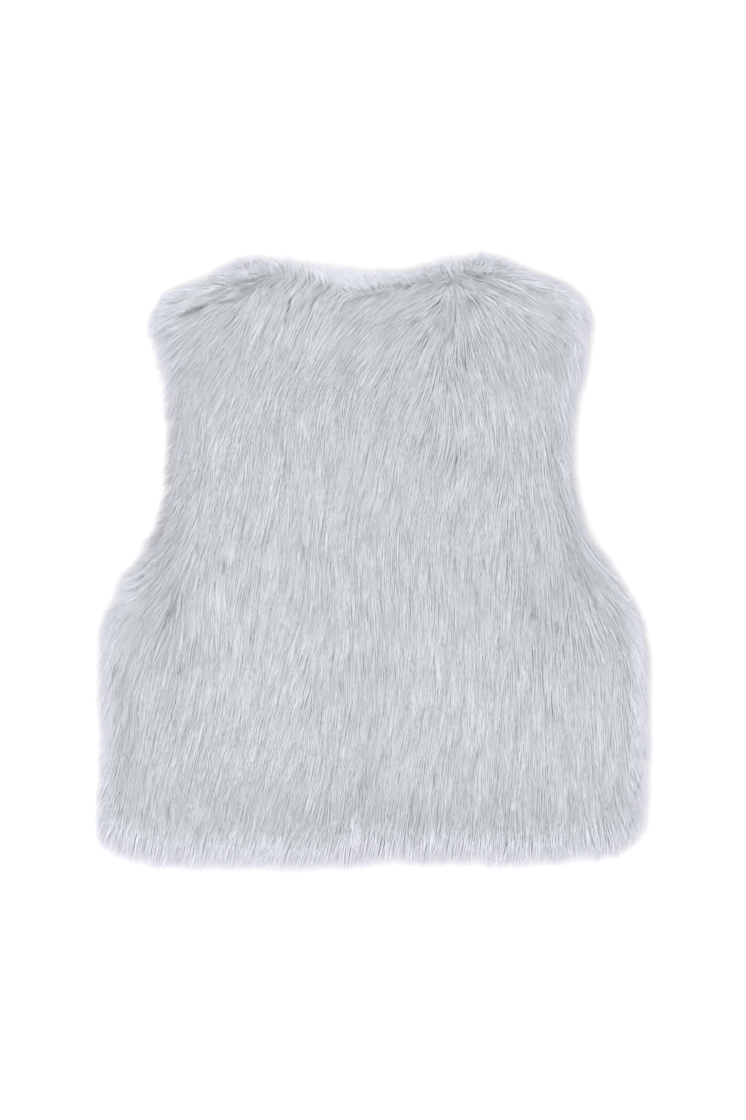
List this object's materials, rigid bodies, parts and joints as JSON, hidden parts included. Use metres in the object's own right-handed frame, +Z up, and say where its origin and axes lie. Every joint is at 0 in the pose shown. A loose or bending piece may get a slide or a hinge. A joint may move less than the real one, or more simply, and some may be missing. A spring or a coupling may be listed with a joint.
{
  "type": "fur gilet",
  "caption": "Sleeveless long-pile fur gilet laid flat with its back upwards: round neck, deep armholes, straight hem and an open front underneath.",
  "frame": {"origin": "middle of the outline, on the surface that the gilet lies on", "axes": "+Z up from the surface to the back's pile, +Y from hem to neck, +X to the right as seen from above"},
  "size_m": [0.398, 0.4436, 0.03],
  "materials": {
    "back_panel": "long silver-grey pile",
    "front_left": "long silver-grey pile",
    "front_right": "long silver-grey pile",
    "neck_facing": "pale lilac-grey pile"
  },
  "bodies": {
    "root": {"back_panel": "back_panel", "front_left": "front_left", "front_right": "front_right", "neck_facing": "neck_facing"}
  },
  "joints": []
}
